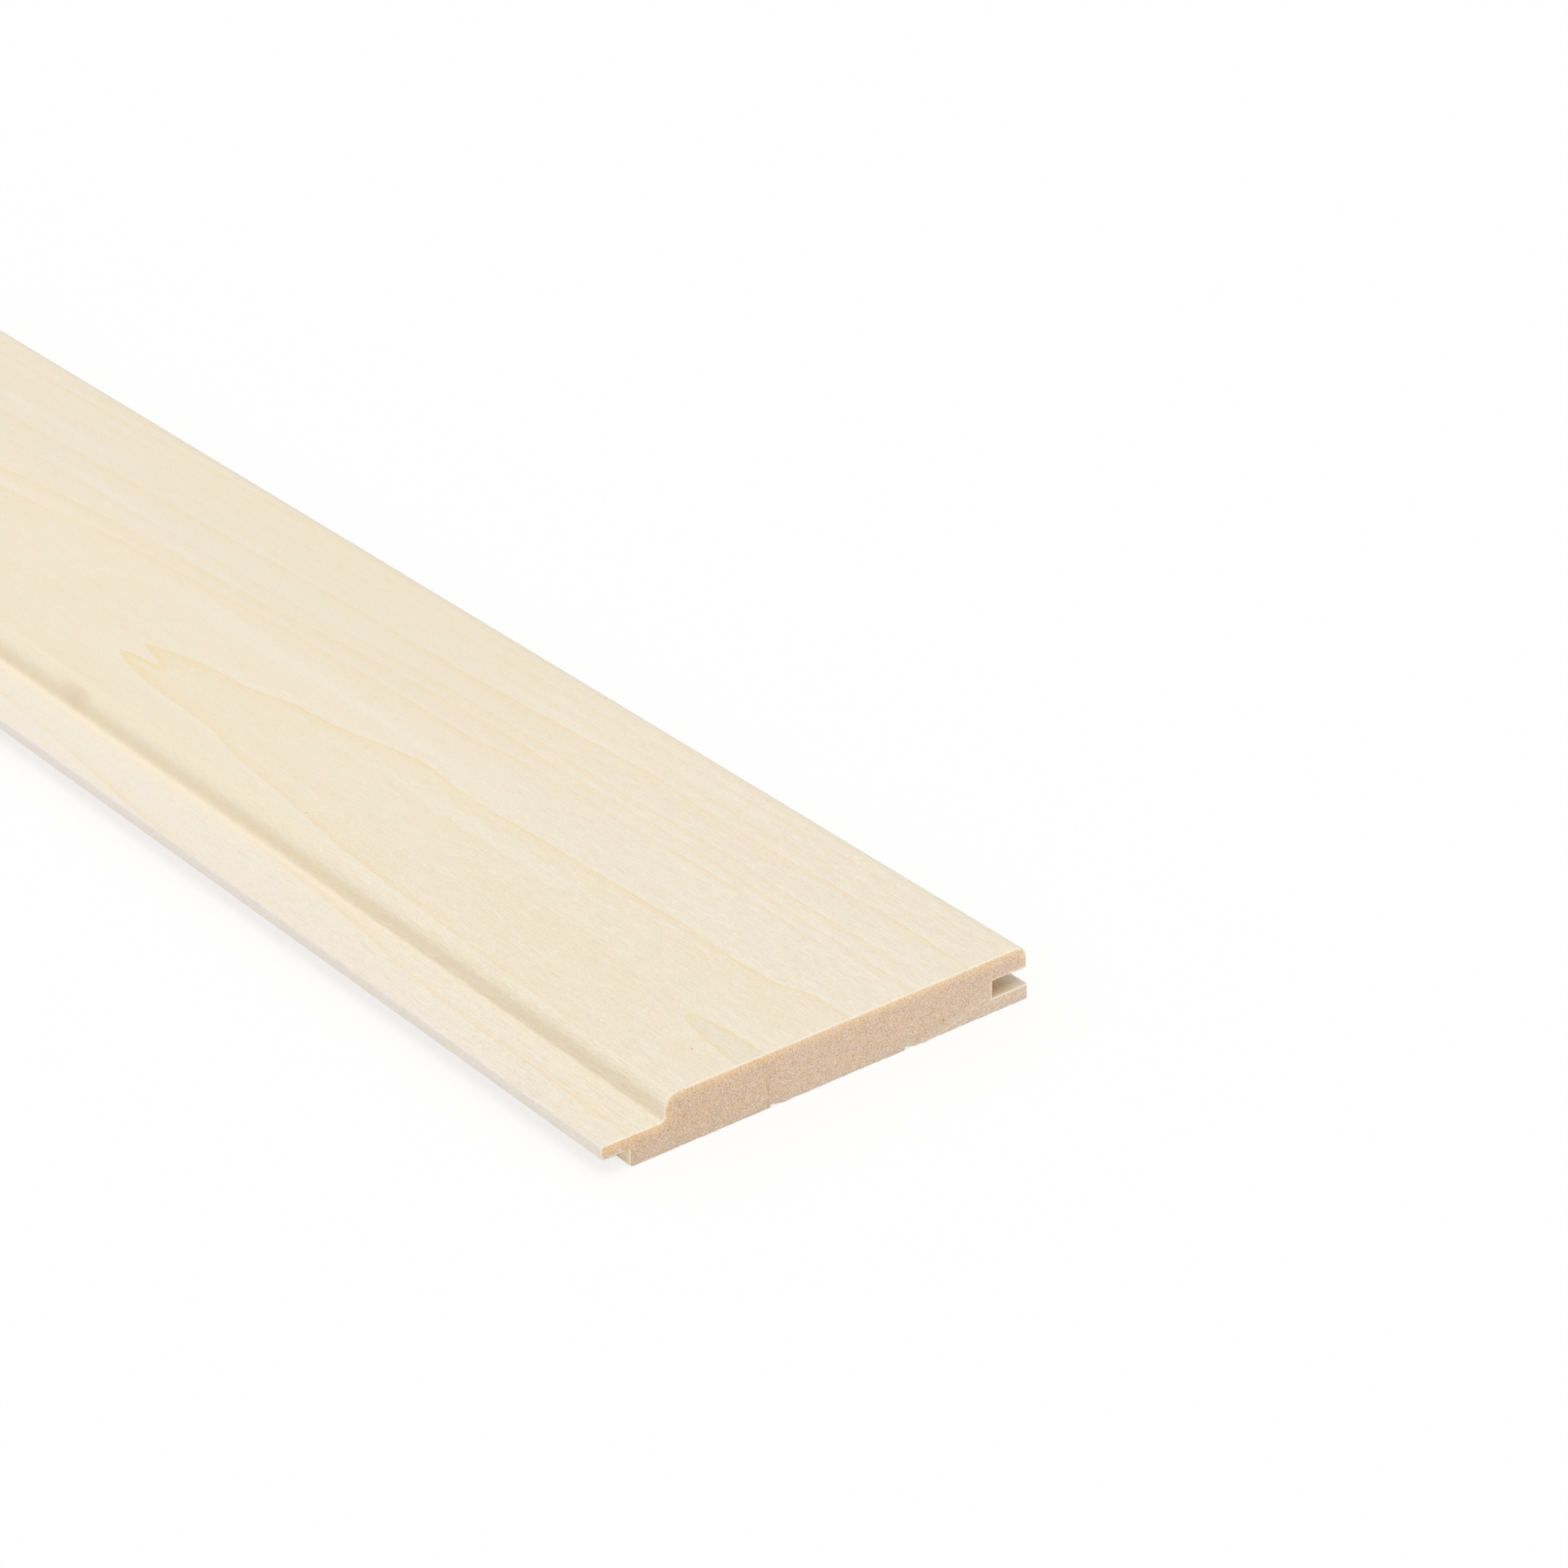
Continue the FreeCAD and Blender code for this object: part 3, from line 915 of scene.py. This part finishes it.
    # The worn arris at each sawn end: pale worn wood, lifted with painted light where it turns from
    # the lamp.
    tint(colours.light_fibre_and_highlight, ramp(wood.from_end, 0.45, 0.1, 0.0, 0.6))
    height = wood.math("ADD", fine, noise((20, 1.0, 1.0), 8.1, 1))
    return wood.surface(ramp(fine, 0.0, 1.0, 0.56, 0.68), height, 0.00003)


def sawn_wood(colours):
    """End grain: fine pores, upright saw lines, an orange rim and the arcs of the rings."""
    wood = Wood("sawn_wood", colours.end_warm)
    across, up = wood.across, wood.up
    ramp, noise, bell, tint = wood.ramp, wood.noise, wood.bell, wood.tint
    number = wood.wavered(wood.growth, noise((1, 5, 1.5), 3.1), 0.3)
    from_upper_side = wood.stored("from_top")

    # Broad differences: pinker towards the groove, greyer near the back, orange under the face.
    pinker = ramp(noise((1, 0.9, 0.9), 6.6, 1), 0.3, 0.7)
    tint(colours.end_cool, wood.math("ADD", pinker, ramp(across, 92.5, 106.5, 0.0, 0.25)))
    lower = ramp(wood.wavered(up, noise((3, 6, 3), 6.1), 5.0), 5.0, 1.5)
    tint(colours.end_low, lower, 0.5)
    thinner = wood.math("ADD", ramp(across, 10.0, 5.5), ramp(across, 110.5, 116.5))
    from_top = wood.wavered(from_upper_side, noise((1, 0.9, 0.7), 4.9, 2, 0.6), 2.4)
    rim = ramp(wood.math("SUBTRACT", from_top, wood.times(thinner, 0.4)), 3.4, 0.3)
    tint(colours.end_rim, rim, 0.9)
    tint(colours.end_light, ramp(across, 48.5, 56.5, 0.0, 0.1))
    tint(colours.end_dark, ramp(across, 16.5, 10.5, 0.0, 0.15))

    # Dark pores and light torn fibres, calmer where the saw burnished the lower rings.
    burnished = ramp(number, 11.35, 11.6)
    calm = wood.math("MAXIMUM", burnished, wood.times(lower, 0.5))
    clump = ramp(noise((1, 2.6, 2.0), 7.3, 1), 0.35, 0.7, 0.45, 1.0)
    pores = ramp(noise((1, 0.42, 0.42), 1.2, 1, 0.6), 0.47, 0.68)
    clear = wood.times(ramp(calm, 0.0, 1.0, 1.0, 0.6), ramp(rim, 0.0, 1.0, 1.0, 0.8))
    tint(colours.end_dark, pores, clump, clear)
    torn = ramp(noise((1, 0.42, 0.42), 8.8, 1, 0.6), 0.48, 0.7)
    tint(colours.end_light, torn, 0.75)
    brushed = ramp(noise((1, 4.0, 0.4), 2.7, 1, 0.5, math.radians(-16)), 0.45, 0.7)
    tint(colours.end_light, brushed, calm, 0.25)

    # The saw's upright scores at two places, and the arcs of the burnished rings.
    scored = wood.math("ADD", wood.times(bell(across, 24.0, 9.0), 0.5),
                       wood.times(bell(across, 47.2, 0.6), 1.4))
    tint(colours.end_dark, ramp(noise((1, 0.5, 6), 5.5, 1), 0.45, 0.62), scored, 0.35)
    arc = bell(wood.math("FRACT", number), 0.47, 0.12)
    tint(colours.end_light, arc, burnished, ramp(noise((1, 3.0, 1.0), 8.2), 0.4, 0.65, 0.15, 0.8))

    # The worn edge under the face, pale worn wood lifted with painted light, and the pale edge
    # round the groove.
    worn = wood.wavered(from_upper_side, noise((1, 1.2, 1.2), 2.9), 0.5)
    # Painted light: the eased arris under the face is lifted towards a bright colour.
    tint(colours.foot, ramp(worn, 1.0, 0.25), ramp(across, 15.5, 18.5, 0.35, 1.0))
    from_groove = wood.wavered(wood.stored("from_groove"), noise((1, 0.6, 0.6), 3.7), 0.9)
    tint(colours.end_light, ramp(from_groove, 0.9, 0.4, 0.0, 0.9))
    return wood.surface(0.8, wood.math("SUBTRACT", torn, pores), 0.00004)


def plain_wood(colours):
    """Single torn fibres, paler than the wood that they hang from."""
    wood = Wood("torn_fibre", colours.end_light)
    wood.tint(colours.end_warm, wood.noise((1.0, 0.5, 0.5), 2.0))
    return wood.surface(0.75, wood.noise((0.3, 0.1, 0.3), 1.0), 0.00001)


def material_named(name, maker, *given):
    return bpy.data.materials.get(name) or maker(*given)


class BOARD_OT_mill_board(bpy.types.Operator):
    """Mill the board's section along its length and saw both ends"""

    bl_idname = "board.mill_board"
    bl_label = "Mill Board"

    def execute(self, context):
        scene = context.scene
        board, work = scene.board_sizes, scene.board_work
        planed = material_named("planed_wood", planed_wood, scene.board_colours)
        sawn = material_named("sawn_wood", sawn_wood, scene.board_colours)
        outline = section_outline(board, work.outline_step, work.end_step)
        section = section_curve(outline, board)
        piece = made_by(milled_length_tree(), "milled_board", {
            "Section": section,
            "Length": board.length - 2 * work.end_band,
            "Stations": work.stations,
            "End Crowding": work.end_crowding,
            "Material": planed,
        })
        bpy.data.curves.remove(section.data)
        swept = piece.data
        points = np.empty(len(swept.vertices) * 3)
        swept.vertices.foreach_get("co", points)
        shell = Shell(points.reshape(-1, 3), [tuple(face.vertices) for face in swept.polygons])
        last = len(swept.vertices) - len(outline)
        near = list(range(last, last + len(outline)))
        far = list(range(len(outline)))
        add_sawn_end(shell, board, work, outline, near, 1, work.seed)
        add_sawn_end(shell, board, work, outline, far, -1, work.seed + 50)
        mesh = bpy.data.meshes.new("milled_board")
        mesh.from_pydata(np.vstack(shell.points).tolist(), [], shell.faces)
        mesh.materials.append(planed)
        mesh.materials.append(sawn)
        mesh.polygons.foreach_set("material_index", shell.finishes)
        finish_mesh(mesh, board, work, GrowthRings(board, scene.board_rings, work.seed), outline)
        mesh.shade_smooth()
        mesh.set_sharp_from_angle(angle=SHARP_ANGLE)
        piece.data = mesh
        bpy.data.meshes.remove(swept)
        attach(piece, BODY)
        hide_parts(NODE)
        return {"FINISHED"}


def studio_floor(stage):
    """A pale floor that takes the board's shadow, lifted towards white where the camera sees it."""
    material = empty_material("studio_floor")
    nodes = Nodes(material.node_tree)
    lit = nodes.add("ShaderNodeBsdfDiffuse", {"Color": (*stage.floor_colour, 1.0)})
    white = nodes.add("ShaderNodeEmission", {"Color": (1, 1, 1, 1), "Strength": 1.0})
    lifted = nodes.times(nodes.add("ShaderNodeLightPath", out="Is Camera Ray"), stage.floor_lift)
    seen = nodes.add("ShaderNodeMixShader", {0: lifted, 1: lit, 2: white})
    nodes.add("ShaderNodeOutputMaterial", {"Surface": seen}, out=None)
    return material


def torn_fibres_tree():
    """Hangs tapered fibres along guide lines: a line's lean gives their way and their length."""
    tree = new_tree("torn_fibres", [
        ("Guide", "Object", None),
        ("Spacing", "Float", 0.0003),
        ("Length", "Float", 0.001),
        ("Thickness", "Float", 0.0001),
        ("Seed", "Int", 0),
        ("Material", "Material", None),
    ])
    n = Nodes(tree)
    given = n.add("NodeGroupInput", out=None).outputs
    guide = n.add("GeometryNodeObjectInfo", {"Object": given["Guide"]}, out="Geometry")
    roots = n.add("GeometryNodeResampleCurve", {
        "Curve": n.add("GeometryNodeMeshToCurve", {"Mesh": guide}), "Length": given["Spacing"],
    }, mode="LENGTH")
    jitter = n.add("FunctionNodeRandomValue", {
        0: (-0.5, -0.5, 0.0), 1: (0.5, 0.5, 0.0), "Seed": given["Seed"],
    }, data_type="FLOAT_VECTOR")
    spread = n.add("ShaderNodeVectorMath", {0: jitter, "Scale": given["Spacing"]},
                   operation="SCALE")
    placed = n.add("GeometryNodeSetPosition", {"Geometry": roots, "Offset": spread})

    strand = n.add("GeometryNodeCurvePrimitiveLine", {"Start": (0, 0, 0), "End": (0, 0, 1)})
    strand = n.add("GeometryNodeResampleCurve", {"Curve": strand, "Count": 5})
    reach = n.add("GeometryNodeSplineParameter")
    bend = n.add("ShaderNodeCombineXYZ", {"X": n.times(n.math("POWER", reach, 2.0), 0.25)})
    strand = n.add("GeometryNodeSetPosition", {"Geometry": strand, "Offset": bend})
    profile = n.add("GeometryNodeCurvePrimitiveCircle", {"Resolution": 4, "Radius": 0.5})
    fibre = n.add("GeometryNodeCurveToMesh", {
        "Curve": strand, "Profile Curve": profile, "Fill Caps": True,
        "Scale": n.math("SUBTRACT", 1.02, reach),
    })

    lean = n.add("GeometryNodeInputNamedAttribute", {"Name": "lean"}, data_type="FLOAT_VECTOR")
    stray = n.add("FunctionNodeRandomValue", {
        0: (-0.15, -0.3, -0.1), 1: (0.15, 0.3, 0.1), "Seed": n.math("ADD", given["Seed"], 1.0),
    }, data_type="FLOAT_VECTOR")
    aim = n.add("ShaderNodeVectorMath", {0: lean, 1: stray}, operation="ADD")
    share = n.add("FunctionNodeRandomValue", {
        2: 0.15, 3: 1.0, "Seed": n.math("ADD", given["Seed"], 2.0),
    }, out=1, data_type="FLOAT")
    leaning = n.add("ShaderNodeVectorMath", {0: lean}, out="Value", operation="LENGTH")
    tall = n.times(n.math("POWER", share, 2.0), leaning, given["Length"])
    wide = n.times(share, given["Thickness"])
    strewn = n.add("GeometryNodeInstanceOnPoints", {
        "Points": placed, "Instance": fibre,
        "Rotation": n.add("FunctionNodeAlignRotationToVector", {"Vector": aim}, axis="Z"),
        "Scale": n.add("ShaderNodeCombineXYZ", {"X": wide, "Y": wide, "Z": tall}),
    })
    return n.give(strewn, given["Material"])


def fibre_guide(board, fibres):
    """Lines along the sawn edges where the saw broke out, with the way the fibres lean."""
    edges = [
        (board.groove_bottom + 0.5 * MM, board.upper_lip_end - 0.3 * MM, board.groove_roof, -1),
        (board.groove_bottom + 0.5 * MM, board.width - 0.4 * MM, board.groove_floor, 1),
        (0.8 * MM, board.tongue_length - 0.1 * MM, board.tongue_underside, -1),
    ]
    for nick in (board.nick_first, board.nick_first + board.nick_spacing):
        edges.append((nick + 0.3 * MM, nick + 1.5 * MM, board.nick_depth, -0.4))
    points, lines, leans = [], [], []
    for side in (1, -1):
        x = side * (board.length / 2 - fibres.setback)
        for start, end, up, way in edges:
            lines.append((len(points), len(points) + 1))
            points += [(x, across - board.width / 2, up) for across in (start, end)]
            leans += [(-0.2 * side, 0.0, way)] * 2
    mesh = bpy.data.meshes.new("fibre_guide")
    mesh.from_pydata(points, lines, [])
    lean = mesh.attributes.new("lean", "FLOAT_VECTOR", "POINT")
    lean.data.foreach_set("vector", np.array(leans).ravel())
    return linked("fibre_guide", mesh)


class BOARD_OT_tear_fibres(bpy.types.Operator):
    """Hang torn fibres from the sawn edges of the groove and the tongue"""

    bl_idname = "board.tear_fibres"
    bl_label = "Tear Fibres"

    def execute(self, context):
        scene = context.scene
        fibres = scene.board_fibres
        guide = fibre_guide(scene.board_sizes, fibres)
        piece = made_by(torn_fibres_tree(), "torn_fibres", {
            "Guide": guide,
            "Spacing": fibres.spacing,
            "Length": fibres.length,
            "Thickness": fibres.thickness,
            "Seed": fibres.seed,
            "Material": material_named("torn_fibre", plain_wood, scene.board_colours),
        })
        bpy.data.meshes.remove(guide.data)
        if not piece.data.polygons:
            raise RuntimeError("no torn fibre was made")
        piece.data.shade_smooth()
        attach(piece, BODY)
        return {"FINISHED"}


class BOARD_OT_set_stage(bpy.types.Operator):
    """Lay a pale studio floor and light it evenly"""

    bl_idname = "board.set_stage"
    bl_label = "Set Stage"

    def execute(self, context):
        scene = context.scene
        stage = scene.board_stage
        bpy.ops.mesh.primitive_circle_add(vertices=96, radius=stage.floor_radius, fill_type="NGON")
        floor = context.object
        floor.name = "studio_floor"
        floor.data.materials.append(studio_floor(stage))
        lamp_data = bpy.data.lights.new("soft_lamp", "SUN")
        lamp_data.energy = stage.lamp
        lamp_data.angle = stage.lamp_spread
        lamp = linked("soft_lamp", lamp_data)
        towards = direction(stage.lamp_azimuth, stage.lamp_elevation)
        lamp.rotation_euler = (-towards).to_track_quat("-Z", "Y").to_euler()
        world = scene.world or bpy.data.worlds.new("studio")
        scene.world = world
        world.use_nodes = True
        world.node_tree.nodes.clear()
        light_the_sky(Nodes(world.node_tree), stage.sky)
        scene.view_settings.view_transform = "Standard"
        return {"FINISHED"}


def light_the_sky(nodes, strength):
    """An even white sky, seen at full white and lighting the board at the given strength."""
    path = nodes.add("ShaderNodeLightPath", out=None).outputs
    lit = nodes.add("ShaderNodeBackground", {"Color": (1, 1, 1, 1), "Strength": strength})
    seen = nodes.add("ShaderNodeBackground", {"Color": (1, 1, 1, 1), "Strength": 1.0})
    through = nodes.math("MAXIMUM", path["Is Glossy Ray"], path["Is Transmission Ray"])
    shown = nodes.math("MAXIMUM", path["Is Camera Ray"], through)
    mixed = nodes.add("ShaderNodeMixShader", {0: shown, 1: lit, 2: seen})
    nodes.add("ShaderNodeOutputWorld", {"Surface": mixed}, out=None)


def direction(azimuth, elevation):
    """Unit vector towards a place seen at an azimuth from -Y towards +X and at an elevation."""
    return Vector((
        math.sin(azimuth) * math.cos(elevation),
        -math.cos(azimuth) * math.cos(elevation),
        math.sin(elevation),
    ))


class BOARD_OT_place_camera(bpy.types.Operator):
    """Stand the camera where the photograph was taken from"""

    bl_idname = "board.place_camera"
    bl_label = "Place Camera"

    def execute(self, context):
        view = context.scene.board_camera
        back = direction(view.azimuth, view.elevation)
        level = (-back).cross(Vector((0, 0, 1))).normalized()
        upright = back.cross(level)
        right = level * math.cos(view.roll) + upright * math.sin(view.roll)
        above = back.cross(right)
        data = bpy.data.cameras.new("photograph_camera")
        data.lens = view.lens
        data.sensor_width = 36.0
        data.clip_start, data.clip_end = 0.01, 60.0
        camera = linked("photograph_camera", data)
        turned = Matrix((right, above, back)).transposed().to_4x4()
        camera.matrix_world = Matrix.Translation(view.place) @ turned
        context.scene.camera = camera
        return {"FINISHED"}


class BOARD_PT_sidebar(bpy.types.Panel):
    bl_idname = "BOARD_PT_sidebar"
    bl_label = "Tongue and Groove Board"
    bl_space_type = "VIEW_3D"
    bl_region_type = "UI"
    bl_category = "Board"

    def draw(self, context):
        for operator in OPERATORS:
            self.layout.operator(operator.bl_idname)
        for name in GROUPS:
            box = self.layout.box()
            group = getattr(context.scene, name)
            box.label(text=group.bl_rna.name)
            for setting in group.bl_rna.properties:
                if not setting.is_readonly and setting.identifier != "name":
                    box.prop(group, setting.identifier)


GROUPS = {
    "board_sizes": BoardSizes,
    "board_work": WorkSizes,
    "board_rings": RingSizes,
    "board_colours": WoodColours,
    "board_fibres": FibreSizes,
    "board_stage": StageSizes,
    "board_camera": CameraSizes,
}
OPERATORS = (
    BOARD_OT_mill_board, BOARD_OT_tear_fibres, BOARD_OT_set_stage, BOARD_OT_place_camera,
)


def register():
    for kind in (*GROUPS.values(), *OPERATORS, BOARD_PT_sidebar):
        bpy.utils.register_class(kind)
    for name, kind in GROUPS.items():
        setattr(bpy.types.Scene, name, PointerProperty(type=kind))


def unregister():
    for name in GROUPS:
        delattr(bpy.types.Scene, name)
    for kind in (BOARD_PT_sidebar, *reversed(OPERATORS), *reversed(GROUPS.values())):
        bpy.utils.unregister_class(kind)


def main():
    register()
    bpy.ops.board.mill_board()
    bpy.ops.board.tear_fibres()
    bpy.ops.board.set_stage()
    bpy.ops.board.place_camera()


if __name__ == "__main__":
    main()
